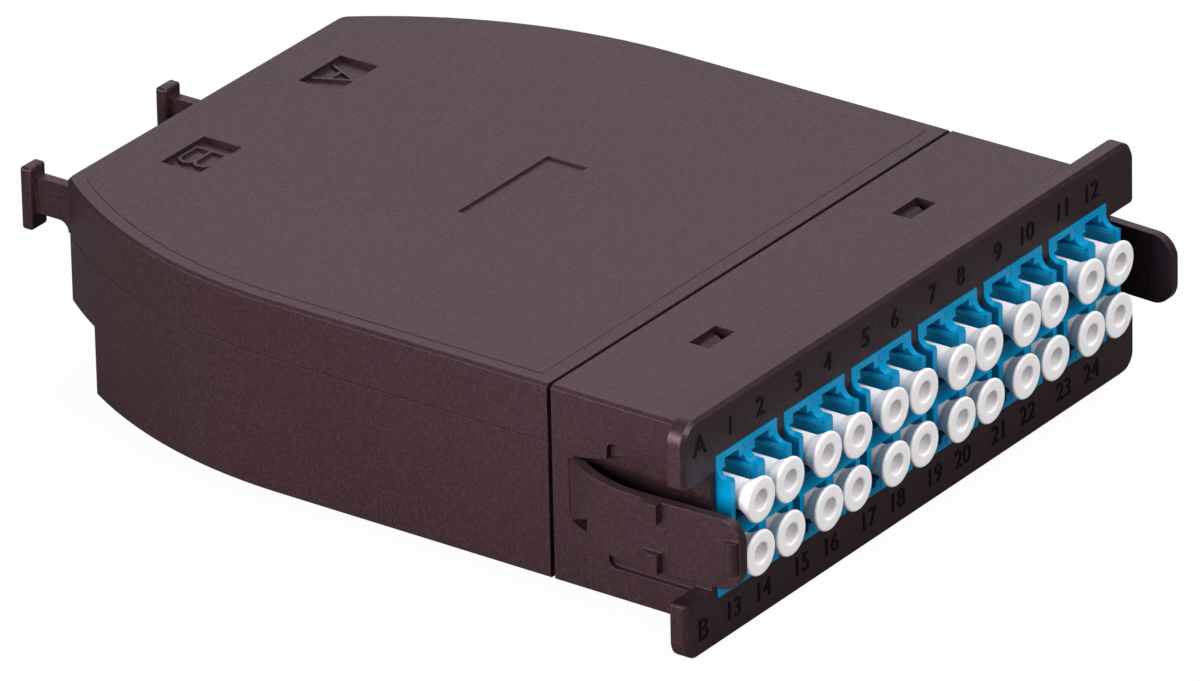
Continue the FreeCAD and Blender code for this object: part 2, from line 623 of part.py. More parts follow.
def harness(side):
    """Twelve fibres from the LC boots to a furcation block, and the trunk on to the MPO boot."""
    block = centred_box(FURCATION_W, FURCATION_H, FURCATION, side * MPO_X, MPO_Z)
    block = block.makeFillet(0.8, edges_along(block, Y_AXIS, lambda p: True))
    trunk = cylinder(TRUNK_R, (FURCATION[1] - FIT, MPO_BOOT_FRONT - FIT), side * MPO_X, MPO_Z)
    fibres = [tube(fibre_points(side, order), FIBRE_R) for order in range(2 * ADAPTERS)]
    return fused(block, [trunk] + fibres)


def plate_notch(side):
    """Space cut from one end of the plate for a latch arm, with bevelled mouth corners."""
    bevel = NOTCH_CHAMFER[side]
    end = side * PLATE_W / 2
    outline = [(side * CASE_HALF_W, NOTCH_BOTTOM),
               (end - side * bevel, NOTCH_BOTTOM), (end, NOTCH_BOTTOM - bevel),
               (2 * end, NOTCH_BOTTOM - bevel), (2 * end, NOTCH_TOP + bevel), (end, NOTCH_TOP + bevel),
               (end - side * bevel, NOTCH_TOP), (side * CASE_HALF_W, NOTCH_TOP)]
    return prism([Vector(x, -PLATE_T - 1, z) for x, z in outline], Y_AXIS * (PLATE_T + 2))


def front_housing():
    """Face plate and the case section behind it, in one moulding."""
    plate = centred_box(PLATE_W, PLATE_H, (-PLATE_T, 0))
    plate = plate.makeFillet(PLATE_CORNER_R, edges_along(plate, Y_AXIS, lambda p: True))
    rim = [e for e in plate.Edges if all(abs(v.Y + PLATE_T) < 1e-6 for v in e.Vertexes)]
    plate = plate.makeChamfer(PLATE_BEVEL, rim)
    section = centred_box(2 * CASE_HALF_W, 2 * CASE_HALF_H, (-LAP, HOUSING_DEPTH))
    section = section.makeChamfer(EDGE_CHAMFER, edges_along(section, Y_AXIS, lambda p: p.z > 0))
    section = section.makeChamfer(LOW_CHAMFER, edges_along(section, Y_AXIS, lambda p: p.z < 0))
    solid = fused(plate, [section])
    solid = solid.cut(centred_box(2 * (CASE_HALF_W - HOUSING_SIDE_WALL), 2 * (CASE_HALF_H - WALL),
                                  (0, HOUSING_DEPTH + 1)))
    for index in range(ADAPTERS):
        solid = solid.cut(centred_box(ADAPTER_W + 2 * PLATE_HOLE_CLEARANCE,
                                      ADAPTER_H + 2 * PLATE_HOLE_CLEARANCE,
                                      (-PLATE_T - 1, 1), adapter_x(index)))
    for side in (1, -1):
        solid = solid.cut(plate_notch(side)).cut(latch_seat(side))
        for up in (1, -1):
            x = side * TONGUE_X
            solid = solid.cut(box((x - WINDOW_W / 2, x + WINDOW_W / 2), WINDOW_Y,
                                  (up * (CASE_HALF_H - WALL - 1), up * (CASE_HALF_H + 1))))
    return solid


def mpo_hole(side):
    """Opening in the rear wall for one MPO adapter."""
    through = (CASE_REAR - WALL - OVERRUN, CASE_REAR + OVERRUN)
    return centred_box(MPO_W + 2 * FIT, MPO_H + 2 * FIT, through, side * MPO_X, MPO_Z)


def t_post(x):
    """T post on the cover's rear edge: a rounded head on a web that flares into the wall below."""
    head = box((x - POST_HEAD_W / 2, x + POST_HEAD_W / 2), (POST_REAR - POST_HEAD_T, POST_REAR),
               (POST_HEAD_Z, CASE_HALF_H - PANEL_RISE))
    head = head.makeFillet(POST_HEAD_ROUND, head.Edges)
    foot = POST_WEB_BOTTOM - PARTING_Z - PARTING_GAP
    bend = foot * (1 - math.sqrt(0.5))
    inside = CASE_REAR - WALL / 2
    outside = POST_REAR - POST_HEAD_T / 2
    side = x - POST_WEB_T / 2
    corners = [(CASE_REAR + foot, POST_WEB_BOTTOM), (outside, POST_WEB_BOTTOM), (outside, POST_WEB_TOP),
               (inside, POST_WEB_TOP),
               (inside, POST_WEB_BOTTOM - foot), (CASE_REAR, POST_WEB_BOTTOM - foot)]
    points = [Vector(side, y, z) for y, z in corners]
    edges = [Part.LineSegment(a, b).toShape() for a, b in zip(points, points[1:])]
    middle = Vector(side, CASE_REAR + bend, POST_WEB_BOTTOM - bend)
    edges.append(Part.Arc(points[-1], middle, points[0]).toShape())
    return head.fuse(Part.Face(Part.Wire(edges)).extrude(X_AXIS * POST_WEB_T))


def rear_top_cover():
    """Cover: roof, skirt down to the parting line, tongues, pins, T posts and marks."""
    top = CASE_HALF_H - PANEL_RISE
    foot = PARTING_Z + PARTING_GAP
    solid = case_block(0, SHELL_FRONT, CASE_REAR, (foot, top), REAR_CORNER_R)
    solid = chamfer_rim(solid, top, EDGE_CHAMFER)
    raised = case_block(PANEL_INSET, SHELL_FRONT + PANEL_INSET, CASE_REAR - PANEL_INSET,
                        (top - 0.2, CASE_HALF_H), REAR_CORNER_R)
    solid = fused(solid, [raised])
    roof = CASE_HALF_H - WALL
    solid = solid.cut(case_block(WALL, SHELL_FRONT - 1, CASE_REAR - WALL, (PARTING_Z - 1, roof)))
    rebate = case_block(WALL - LIP_T - FIT, SHELL_FRONT - 1, CASE_REAR - WALL + LIP_T + FIT,
                        (PARTING_Z - 1, PARTING_Z + LIP_H + FIT))
    solid = solid.cut(rebate)
    parts = [snap_tongue(side * TONGUE_X, 1) for side in (1, -1)]
    parts += [t_post(x) for x in POST_X]
    parts += [Part.makeCylinder(PIN_R, roof + 1 + 2.0, Vector(x, y, -2.0), Z_AXIS) for x, y in BOSS_PLACES]
    solid = fused(solid, parts)
    for side in (1, -1):
        solid = solid.cut(mpo_hole(side))
        solid = solid.cut(centred_box(MPO_FLANGE_W + 1, MPO_FLANGE_H + 0.4, (MPO_FRONT, CASE_REAR - WALL),
                                      side * MPO_X, MPO_Z))
    for name, x in (("A", MARK_X), ("B", -MARK_X)):
        floor = CASE_HALF_H - MARK_DEPTH
        solid = solid.cut(box((x - MARK_W / 2, x + MARK_W / 2), (MARK_Y - MARK_D / 2, MARK_Y + MARK_D / 2),
                              (floor, CASE_HALF_H + 1)))
        solid = solid.fuse(letter(name, x, MARK_Y, (floor - 0.1, floor + LETTER_RISE)))
    return solid.cut(box(LABEL_X, LABEL_Y, (CASE_HALF_H - LABEL_DEPTH, CASE_HALF_H + 1)))


def rear_bottom_shell():
    """Bottom shell: floor, side walls to the parting line, stepped rear wall, locating lip and bosses."""
    bottom = -CASE_HALF_H
    lower = case_block(0, SHELL_FRONT, STEP_REAR, (bottom, STEP_Z), REAR_CORNER_R)
    lower = chamfer_rim(lower, bottom, LOW_CHAMFER)
    upper = case_block(0, SHELL_FRONT, CASE_REAR, (STEP_Z, PARTING_Z), REAR_CORNER_R)
    solid = fused(lower, [upper])
    hollow_low = case_block(WALL, SHELL_FRONT - 1, STEP_REAR - WALL, (bottom + WALL, PARTING_Z + 1))
    hollow_high = case_block(WALL, SHELL_FRONT - 1, CASE_REAR - WALL, (STEP_Z + WALL, PARTING_Z + 1))
    solid = solid.cut(hollow_low).cut(hollow_high)
    lip_top = PARTING_Z + LIP_H
    lip = case_block(WALL - LIP_T, SHELL_FRONT, CASE_REAR - WALL + LIP_T, (PARTING_Z - LAP, lip_top))
    lip = lip.cut(case_block(WALL, SHELL_FRONT - OVERRUN, CASE_REAR - WALL,
                             (PARTING_Z - OVERRUN, lip_top + OVERRUN)))
    parts = [lip] + [snap_tongue(side * TONGUE_X, -1) for side in (1, -1)]
    for x, y in BOSS_PLACES:
        boss = Part.makeCylinder(BOSS_R, BOSS_TOP - bottom - 1, Vector(x, y, bottom + 1), Z_AXIS)
        parts.append(boss.cut(Part.makeCylinder(PIN_R + FIT, PLATE_H, Vector(x, y, -2.0 - FIT), Z_AXIS)))
    solid = fused(solid, parts)
    for side in (1, -1):
        solid = solid.cut(mpo_hole(side))
        solid = solid.cut(centred_box(MPO_FLANGE_W + 1, MPO_FLANGE_H + 0.4, (STEP_REAR, CASE_REAR - WALL),
                                      side * MPO_X, MPO_Z))
    return solid


def build():
    """All nodes by name."""
    nodes = {"front_housing": front_housing(), "rear_top_cover": rear_top_cover(),
             "rear_bottom_shell": rear_bottom_shell()}
    right = latch()
    nodes["latch_right"] = right
    nodes["latch_left"] = right.mirror(Vector(0, 0, 0), X_AXIS)
    for index in range(ADAPTERS):
        nodes["lc_adapter_%d" % (index + 1)] = lc_adapter(index)
        nodes["sleeve_set_%d" % (index + 1)] = sleeve_set(index)
        nodes["lc_plug_set_%d" % (index + 1)] = lc_plug_set(index)
    for index in range(4 * ADAPTERS):
        nodes["dust_cap_%02d" % (index + 1)] = dust_cap(index)
    for name, side in (("a", 1), ("b", -1)):
        nodes["mpo_adapter_" + name] = mpo_adapter(side)
        nodes["mpo_plug_" + name] = mpo_plug(side)
        nodes["harness_" + name] = harness(side)
    return nodes


os.makedirs("parts", exist_ok=True)
for node, shape in build().items():
    shape.exportStep("parts/%s.step" % node)
    print("%-20s solids %d valid %s volume %.1f" % (node, len(shape.Solids), shape.isValid(), shape.Volume))
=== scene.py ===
"""Dressed model of a fibre cassette: finishes, softened edges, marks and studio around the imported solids."""
import logging
import math
from dataclasses import dataclass
from enum import Enum

import bmesh
import bpy
from mathutils import Matrix, Vector


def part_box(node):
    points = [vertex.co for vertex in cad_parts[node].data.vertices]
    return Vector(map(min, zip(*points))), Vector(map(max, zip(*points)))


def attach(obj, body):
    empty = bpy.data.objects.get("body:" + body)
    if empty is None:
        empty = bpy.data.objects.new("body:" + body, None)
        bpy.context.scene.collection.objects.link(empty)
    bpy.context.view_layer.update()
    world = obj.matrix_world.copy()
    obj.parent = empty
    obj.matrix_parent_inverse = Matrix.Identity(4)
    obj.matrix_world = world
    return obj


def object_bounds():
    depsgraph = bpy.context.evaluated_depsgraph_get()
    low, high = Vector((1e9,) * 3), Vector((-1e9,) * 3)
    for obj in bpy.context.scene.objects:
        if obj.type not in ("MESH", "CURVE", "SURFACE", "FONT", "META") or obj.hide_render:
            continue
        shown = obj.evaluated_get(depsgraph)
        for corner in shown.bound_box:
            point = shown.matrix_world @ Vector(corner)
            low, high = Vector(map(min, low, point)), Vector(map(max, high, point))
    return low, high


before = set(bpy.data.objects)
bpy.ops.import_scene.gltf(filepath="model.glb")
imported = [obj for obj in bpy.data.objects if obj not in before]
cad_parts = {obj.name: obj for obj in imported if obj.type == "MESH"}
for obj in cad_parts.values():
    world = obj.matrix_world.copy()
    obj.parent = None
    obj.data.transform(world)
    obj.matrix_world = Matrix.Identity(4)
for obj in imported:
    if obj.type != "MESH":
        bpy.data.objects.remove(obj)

CAD_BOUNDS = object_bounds()
MM = 0.001
LOG = logging.getLogger("fibre_cassette")

Colour = tuple[float, float, float]
WHITE: Colour = (1.0, 1.0, 1.0)
UPRIGHT = (math.pi / 2, 0.0, 0.0)  # turns a flat shape to face the front, and a rod to point to the rear


class Grain(Enum):
    """Surface left by the mould, as the size of its grain in metres."""

    LEATHER = 0.00042
    FINE = 0.00012
    POLISHED = 0.0006


class Body(Enum):
    """Moving bodies of the cassette."""

    CASE = "case"
    LATCH_LEFT = "latch_left"
    LATCH_RIGHT = "latch_right"


# ---------------------------------------------------------------------------------------------------
# Small helpers for node trees
# ---------------------------------------------------------------------------------------------------


class TreeWriter:
    """Adds and joins the nodes of one tree."""

    def __init__(self, tree: bpy.types.NodeTree) -> None:
        """Keeps the tree that is written."""
        self.tree = tree

    def add(self, kind: str, **settings: object) -> bpy.types.Node:
        """Adds a node.

        Args:
            kind: The node's type name.
            settings: Properties to set on it.

        Returns:
            The new node.
        """
        node = self.tree.nodes.new(kind)
        for name, value in settings.items():
            setattr(node, name, value)
        return node

    def join(self, source: bpy.types.NodeSocket, target: bpy.types.NodeSocket) -> None:
        """Links an output to an input."""
        self.tree.links.new(source, target)


def blank_tree(owner: bpy.types.Material | bpy.types.World) -> TreeWriter:
    """Empties the node tree of a material or a world.

    Args:
        owner: What the tree belongs to.

    Returns:
        A writer for the tree.
    """
    owner.use_nodes = True
    owner.node_tree.nodes.clear()
    return TreeWriter(owner.node_tree)


# ---------------------------------------------------------------------------------------------------
# Finishes
# ---------------------------------------------------------------------------------------------------


@dataclass(frozen=True)
class MouldedPlastic:
    """Injection-moulded plastic with the grain of its mould.

    Attributes:
        name: Name of the material.
        colour: Linear base colour.
        shade: How far the colour wanders over the surface.
        roughness: Mean roughness.
        roughness_spread: How far the roughness wanders from its mean.
        grain: Size of the mould's grain.
        grain_depth: Strength of the grain's bump.
        reflection: Tint of the reflections.
        specular: Level of the reflections.
        subsurface: Weight of the light that scatters inside.
        subsurface_scale: How far that light reaches.
        edge_radius: Radius that the light sees on every edge.
        flow_per_metre: Density of the slow flow marks.
        speckle_share: Share of the speckle in the colour, against the flow marks.
        flow_range: Noise values between which the colour goes from its darkest to its lightest.
        polish_range: Noise values between which the roughness goes from its lowest to its highest.
        polish_density: Density of the polishing streaks, against that of the grain.
        streak_stretch: Density of the streaks along the draw, against that across it.
        grain_rise: Height of the grain, as a share of its size.
    """

    name: str
    colour: Colour
    shade: float = 0.12
    roughness: float = 0.42
    roughness_spread: float = 0.08
    grain: Grain = Grain.LEATHER
    grain_depth: float = 0.25
    reflection: Colour = WHITE
    specular: float = 0.5
    subsurface: float = 0.0
    subsurface_scale: float = 0.6 * MM
    edge_radius: float = 0.12 * MM
    flow_per_metre: float = 40.0
    speckle_share: float = 0.8
    flow_range: tuple[float, float] = (0.32, 0.68)
    polish_range: tuple[float, float] = (0.3, 0.7)
    polish_density: float = 0.7
    streak_stretch: float = 0.6
    grain_rise: float = 0.1

    def material(self) -> bpy.types.Material:
        """Builds the material, or returns the one already built.

        Returns:
            The material.
        """
        found = bpy.data.materials.get(self.name)
        if found:
            return found
        made = bpy.data.materials.new(self.name)
        made.diffuse_color = (*self.colour, 1.0)
        writer = blank_tree(made)
        shader = writer.add("ShaderNodeBsdfPrincipled")
        shader.inputs["Specular IOR Level"].default_value = self.specular
        shader.inputs["Specular Tint"].default_value = (*self.reflection, 1.0)
        shader.inputs["IOR"].default_value = 1.5
        shader.inputs["Subsurface Weight"].default_value = self.subsurface
        shader.inputs["Subsurface Scale"].default_value = self.subsurface_scale
        place = writer.add("ShaderNodeTexCoord").outputs["Object"]
        self._colour(writer, place, shader)
        self._roughness(writer, place, shader)
        self._grain(writer, place, shader)
        output = writer.add("ShaderNodeOutputMaterial")
        writer.join(shader.outputs["BSDF"], output.inputs["Surface"])
        return made

    def _colour(self, writer: TreeWriter, place: bpy.types.NodeSocket, shader: bpy.types.Node) -> None:
        """Base colour with slow flow marks and a faint speckle.

        Args:
            writer: Writer of the material's tree.
            place: The place on the piece.
            shader: Shader that takes the result.
        """
        flow = writer.add("ShaderNodeTexNoise", noise_dimensions="3D")
        flow.inputs["Scale"].default_value = self.flow_per_metre
        flow.inputs["Detail"].default_value = 3.0
        speckle = writer.add("ShaderNodeTexNoise", noise_dimensions="3D")
        speckle.inputs["Scale"].default_value = 1.0 / self.grain.value
        speckle.inputs["Detail"].default_value = 2.0
        writer.join(place, flow.inputs["Vector"])
        writer.join(place, speckle.inputs["Vector"])
        blend = writer.add("ShaderNodeMix", data_type="FLOAT")
        blend.inputs[0].default_value = self.speckle_share
        writer.join(flow.outputs["Fac"], blend.inputs[2])
        writer.join(speckle.outputs["Fac"], blend.inputs[3])
        ramp = writer.add("ShaderNodeValToRGB")
        low, high = ramp.color_ramp.elements[0], ramp.color_ramp.elements[1]
        low.position, high.position = self.flow_range
        low.color = (*[c * (1.0 - self.shade) for c in self.colour], 1.0)
        high.color = (*[min(1.0, c * (1.0 + self.shade)) for c in self.colour], 1.0)
        writer.join(blend.outputs[0], ramp.inputs["Fac"])
        writer.join(ramp.outputs["Color"], shader.inputs["Base Color"])

    def _roughness(self, writer: TreeWriter, place: bpy.types.NodeSocket, shader: bpy.types.Node) -> None:
        """Roughness that drifts with the polish of the tool, in streaks along the draw.

        Args:
            writer: Writer of the material's tree.
            place: The place on the piece.
            shader: Shader that takes the result.
        """
        stretch = writer.add("ShaderNodeMapping")
        stretch.inputs["Scale"].default_value = (1.0, 1.0, self.streak_stretch)
        streaks = writer.add("ShaderNodeTexNoise", noise_dimensions="3D")
        streaks.inputs["Scale"].default_value = self.polish_density / self.grain.value
        streaks.inputs["Detail"].default_value = 4.0
        streaks.inputs["Roughness"].default_value = 0.6
        spread = writer.add("ShaderNodeMapRange")
        spread.inputs["From Min"].default_value = self.polish_range[0]
        spread.inputs["From Max"].default_value = self.polish_range[1]
        spread.inputs["To Min"].default_value = self.roughness - self.roughness_spread
        spread.inputs["To Max"].default_value = self.roughness + self.roughness_spread
        writer.join(place, stretch.inputs["Vector"])
        writer.join(stretch.outputs["Vector"], streaks.inputs["Vector"])
        writer.join(streaks.outputs["Fac"], spread.inputs["Value"])
        writer.join(spread.outputs["Result"], shader.inputs["Roughness"])

    def _grain(self, writer: TreeWriter, place: bpy.types.NodeSocket, shader: bpy.types.Node) -> None:
        """Bump of the mould's grain over softly rounded edges.

        Args:
            writer: Writer of the material's tree.
            place: The place on the piece.
            shader: Shader that takes the result.
        """
        edges = writer.add("ShaderNodeBevel", samples=6)
        edges.inputs["Radius"].default_value = self.edge_radius
        grain = writer.add("ShaderNodeTexNoise", noise_dimensions="3D")
        grain.inputs["Scale"].default_value = 1.0 / self.grain.value
        grain.inputs["Detail"].default_value = 3.0
        grain.inputs["Roughness"].default_value = 0.55
        bump = writer.add("ShaderNodeBump")
        bump.inputs["Strength"].default_value = self.grain_depth
        bump.inputs["Distance"].default_value = self.grain.value * self.grain_rise
        writer.join(place, grain.inputs["Vector"])
        writer.join(grain.outputs["Fac"], bump.inputs["Height"])
        writer.join(edges.outputs["Normal"], bump.inputs["Normal"])
        writer.join(bump.outputs["Normal"], shader.inputs["Normal"])


@dataclass(frozen=True)
class PolishedMetal:
    """Ground steel of a guide pin.

    Attributes:
        name: Name of the material.
        colour: Linear colour of its reflections.
        roughness: Mean roughness.
        roughness_swing: How far the roughness wanders, as a share of its mean.
        marks_per_metre: Density of the grinding marks.
    """

    name: str
    colour: Colour
    roughness: float
    roughness_swing: float = 0.3
    marks_per_metre: float = 3000.0

    def material(self) -> bpy.types.Material:
        """Builds the material, or returns the one already built.

        Returns:
            The material.
        """
        found = bpy.data.materials.get(self.name)
        if found:
            return found
        made = bpy.data.materials.new(self.name)
        writer = blank_tree(made)
        shader = writer.add("ShaderNodeBsdfPrincipled")
        shader.inputs["Base Color"].default_value = (*self.colour, 1.0)
        shader.inputs["Metallic"].default_value = 1.0
        place = writer.add("ShaderNodeTexCoord").outputs["Object"]
        lines = writer.add("ShaderNodeTexNoise", noise_dimensions="3D")
        lines.inputs["Scale"].default_value = self.marks_per_metre
        spread = writer.add("ShaderNodeMapRange")
        spread.inputs["To Min"].default_value = self.roughness * (1.0 - self.roughness_swing)
        spread.inputs["To Max"].default_value = self.roughness * (1.0 + self.roughness_swing)
        writer.join(place, lines.inputs["Vector"])
        writer.join(lines.outputs["Fac"], spread.inputs["Value"])
        writer.join(spread.outputs["Result"], shader.inputs["Roughness"])
        output = writer.add("ShaderNodeOutputMaterial")
        writer.join(shader.outputs["BSDF"], output.inputs["Surface"])
        return made


CASE_BLACK = MouldedPlastic("case_black", (0.019, 0.0095, 0.0095), shade=0.38, reflection=(1.0, 0.72, 0.9),
                            specular=0.4, roughness=0.38, roughness_spread=0.07, grain_depth=0.7,
                            edge_radius=0.14 * MM)
# Raised plate marks: their near-black colour, darker than the case plastic, is painted shade that makes them
# read dark against the plate.
MARK_PAINTED_SHADE_BLACK = MouldedPlastic("mark_painted_shade_black", (0.0015, 0.001, 0.001), roughness=0.34, specular=0.16,
                            grain=Grain.FINE, grain_depth=0.1, edge_radius=0.03 * MM)
ADAPTER_BLUE = MouldedPlastic("adapter_blue", (0.0, 0.22, 0.43), shade=0.06, roughness=0.3, grain=Grain.FINE,
                              grain_depth=0.08, reflection=(0.15, 0.75, 1.0), edge_radius=0.1 * MM)
CAP_WHITE = MouldedPlastic("cap_white", (0.86, 0.84, 0.85), shade=0.01, roughness=0.45, grain=Grain.POLISHED,
                           grain_depth=0.03, subsurface=0.25, edge_radius=0.1 * MM)
CERAMIC_WHITE = MouldedPlastic("ceramic_white", (0.88, 0.87, 0.83), shade=0.02, roughness=0.16,
                               grain=Grain.POLISHED, grain_depth=0.02, edge_radius=0.04 * MM)
PLUG_BLUE = MouldedPlastic("plug_blue", (0.015, 0.11, 0.38), shade=0.05, roughness=0.36, grain=Grain.FINE,
                           grain_depth=0.08)
PORT_BLACK = MouldedPlastic("port_black", (0.018, 0.017, 0.018), roughness=0.38, grain=Grain.FINE,
                            grain_depth=0.12)
FERRULE_GREY = MouldedPlastic("ferrule_grey", (0.055, 0.055, 0.06), roughness=0.3, grain=Grain.FINE,
                              grain_depth=0.05, edge_radius=0.05 * MM)
JACKET_AQUA = MouldedPlastic("jacket_aqua", (0.03, 0.42, 0.50), shade=0.05, roughness=0.5, grain=Grain.FINE)
FIBRE_GLASS = MouldedPlastic("fibre_glass", (0.75, 0.78, 0.8), shade=0.02, roughness=0.12,
                             grain=Grain.POLISHED, grain_depth=0.0, edge_radius=0.01 * MM)
PIN_STEEL = PolishedMetal("pin_steel", (0.62, 0.62, 0.63), 0.22)


# ---------------------------------------------------------------------------------------------------
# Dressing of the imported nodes
# ---------------------------------------------------------------------------------------------------


@dataclass(frozen=True)
class FaceSmoothing:
    """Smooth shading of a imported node's curved faces, which leaves its edges sharp.

    Attributes:
        sharper_than: Edges that turn by more than this stay sharp.
        merge_within: Points closer than this are one point.
    """

    sharper_than: float = math.radians(24.0)
    merge_within: float = 0.001 * MM

    def apply(self, piece: bpy.types.Object, finish: MouldedPlastic) -> None:
        """Puts the smoothing on a piece.

        Args:
            piece: The piece, whose own mesh stays as it is.
            finish: Finish of its surface.
        """
        modifier = piece.modifiers.new("smooth_faces", "NODES")
        modifier.node_group = self._tree(finish)

    def _tree(self, finish: MouldedPlastic) -> bpy.types.NodeTree:
        """Builds the tree for one finish, or returns the one already built.

        Args:
            finish: Finish of the surface.

        Returns:
            The tree.
        """
        name = f"smooth_faces_{finish.name}"
        found = bpy.data.node_groups.get(name)
        if found:
            return found
        tree = bpy.data.node_groups.new(name, "GeometryNodeTree")
        tree.interface.new_socket("Geometry", in_out="INPUT", socket_type="NodeSocketGeometry")
        tree.interface.new_socket("Geometry", in_out="OUTPUT", socket_type="NodeSocketGeometry")
        writer = TreeWriter(tree)
        entry = writer.add("NodeGroupInput")
        merge = writer.add("GeometryNodeMergeByDistance")
        merge.inputs["Distance"].default_value = self.merge_within
        faces = writer.add("GeometryNodeSetShadeSmooth", domain="FACE")
        turn = writer.add("GeometryNodeInputMeshEdgeAngle")
        gentle = writer.add("FunctionNodeCompare", data_type="FLOAT", operation="GREATER_THAN")
        gentle.inputs[1].default_value = self.sharper_than
        edges = writer.add("GeometryNodeSetShadeSmooth", domain="EDGE")
        edges.inputs["Shade Smooth"].default_value = False
        real = writer.add("GeometryNodeRealizeInstances")
        paint = writer.add("GeometryNodeSetMaterial")
        paint.inputs["Material"].default_value = finish.material()
        leave = writer.add("NodeGroupOutput")
        writer.join(entry.outputs["Geometry"], merge.inputs["Geometry"])
        writer.join(merge.outputs["Geometry"], faces.inputs["Geometry"])
        writer.join(faces.outputs["Geometry"], edges.inputs["Geometry"])
        writer.join(turn.outputs["Unsigned Angle"], gentle.inputs[0])
        writer.join(gentle.outputs["Result"], edges.inputs["Selection"])
        writer.join(edges.outputs["Geometry"], real.inputs["Geometry"])
        writer.join(real.outputs["Geometry"], paint.inputs["Geometry"])
        writer.join(paint.outputs["Geometry"], leave.inputs["Geometry"])
        return tree


def dress(node: str, finish: MouldedPlastic) -> None:
    """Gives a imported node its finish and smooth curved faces.

    Args:
        node: Name of the node.
        finish: Finish of its surface.
    """
    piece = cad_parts[node]
    piece.data.materials.clear()
    piece.data.materials.append(finish.material())
    FaceSmoothing().apply(piece, finish)
    LOG.info("dressed %s in %s", node, finish.name)


def settle(piece: bpy.types.Object, body: Body) -> bpy.types.Object:
    """Parents a finished piece to the empty of its body.

    Args:
        piece: The piece, with its place in its mesh.
        body: The body that it moves with.

    Returns:
        The piece.
    """
    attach(piece, body.value)
    LOG.info("made %s: %d faces on %s", piece.name, len(piece.data.polygons), body.value)
    return piece


# ---------------------------------------------------------------------------------------------------
# Geometry Nodes
# ---------------------------------------------------------------------------------------------------


class NodeShape:
    """A shape made by Geometry Nodes, with named inputs for its sizes."""

    def __init__(self, name: str, inputs: dict[str, tuple[str, object]]) -> None:
        """Starts the tree.

        Args:
            name: Name of the tree.
            inputs: For each named input, its socket type and its default value.
        """
        self.tree = bpy.data.node_groups.new(name, "GeometryNodeTree")
        self.writer = TreeWriter(self.tree)
        self.sockets: dict[str, str] = {}
        for label, (kind, value) in inputs.items():
            socket = self.tree.interface.new_socket(label, in_out="INPUT", socket_type=kind)
            if value is not None:
                socket.default_value = value
            self.sockets[label] = socket.identifier
        self.tree.interface.new_socket("Geometry", in_out="OUTPUT", socket_type="NodeSocketGeometry")
        self.entry = self.writer.add("NodeGroupInput")
        self.exit = self.writer.add("NodeGroupOutput")

    def close(self, geometry: bpy.types.NodeSocket, finish: MouldedPlastic | PolishedMetal) -> None:
        """Ends the tree with real meshes and their material.

        Args:
            geometry: Output that carries the shape.
            finish: Finish of its surface.
        """
        real = self.writer.add("GeometryNodeRealizeInstances")
        paint = self.writer.add("GeometryNodeSetMaterial")
        paint.inputs["Material"].default_value = finish.material()
        self.writer.join(geometry, real.inputs["Geometry"])
        self.writer.join(real.outputs["Geometry"], paint.inputs["Geometry"])
        self.writer.join(paint.outputs["Geometry"], self.exit.inputs["Geometry"])

    def mesh(self, name: str, values: dict[str, object]) -> bpy.types.Mesh:
        """Runs the tree with given inputs.

        Args:
            name: Name of the mesh.
            values: Values of the inputs, by label.

        Returns:
            The evaluated mesh.
        """
        carrier = bpy.data.objects.new(name, bpy.data.meshes.new(name))
        bpy.context.scene.collection.objects.link(carrier)
        modifier = carrier.modifiers.new("shape", "NODES")
        modifier.node_group = self.tree
        for label, value in values.items():
            modifier[self.sockets[label]] = value
        carrier.update_tag()
        graph = bpy.context.evaluated_depsgraph_get()
        made = bpy.data.meshes.new_from_object(carrier.evaluated_get(graph))
        made.name = name
        bpy.data.objects.remove(carrier)
        return made


def piece_of(name: str, meshes: list[bpy.types.Mesh]) -> bpy.types.Object:
    """Joins meshes into one piece at the origin.

    Args:
        name: Name of the piece.
        meshes: Meshes with their place in their vertices.

    Returns:
        The piece, linked to the scene.
    """
    joined = bmesh.new()
    for mesh in meshes:
        joined.from_mesh(mesh)
    made = bpy.data.meshes.new(name)
    for material in meshes[0].materials:
        made.materials.append(material)
    joined.to_mesh(made)
    joined.free()
    piece = bpy.data.objects.new(name, made)
    bpy.context.scene.collection.objects.link(piece)
    return piece


# ---------------------------------------------------------------------------------------------------
# Sub-assemblies
# ---------------------------------------------------------------------------------------------------


@dataclass
class CaseShells:
    """Front housing, top cover and bottom shell."""

    nodes: tuple[str, ...] = ("front_housing", "rear_top_cover", "rear_bottom_shell")

    def build(self) -> None:
        """Dresses the three mouldings."""
        for node in self.nodes:
            dress(node, CASE_BLACK)


@dataclass
class LatchPair:
    """The two sprung latches at the ends of the face plate."""

    bodies: tuple[Body, ...] = (Body.LATCH_LEFT, Body.LATCH_RIGHT)

    def build(self) -> None:
        """Dresses both latches."""
        for body in self.bodies:
            dress(body.value, CASE_BLACK)


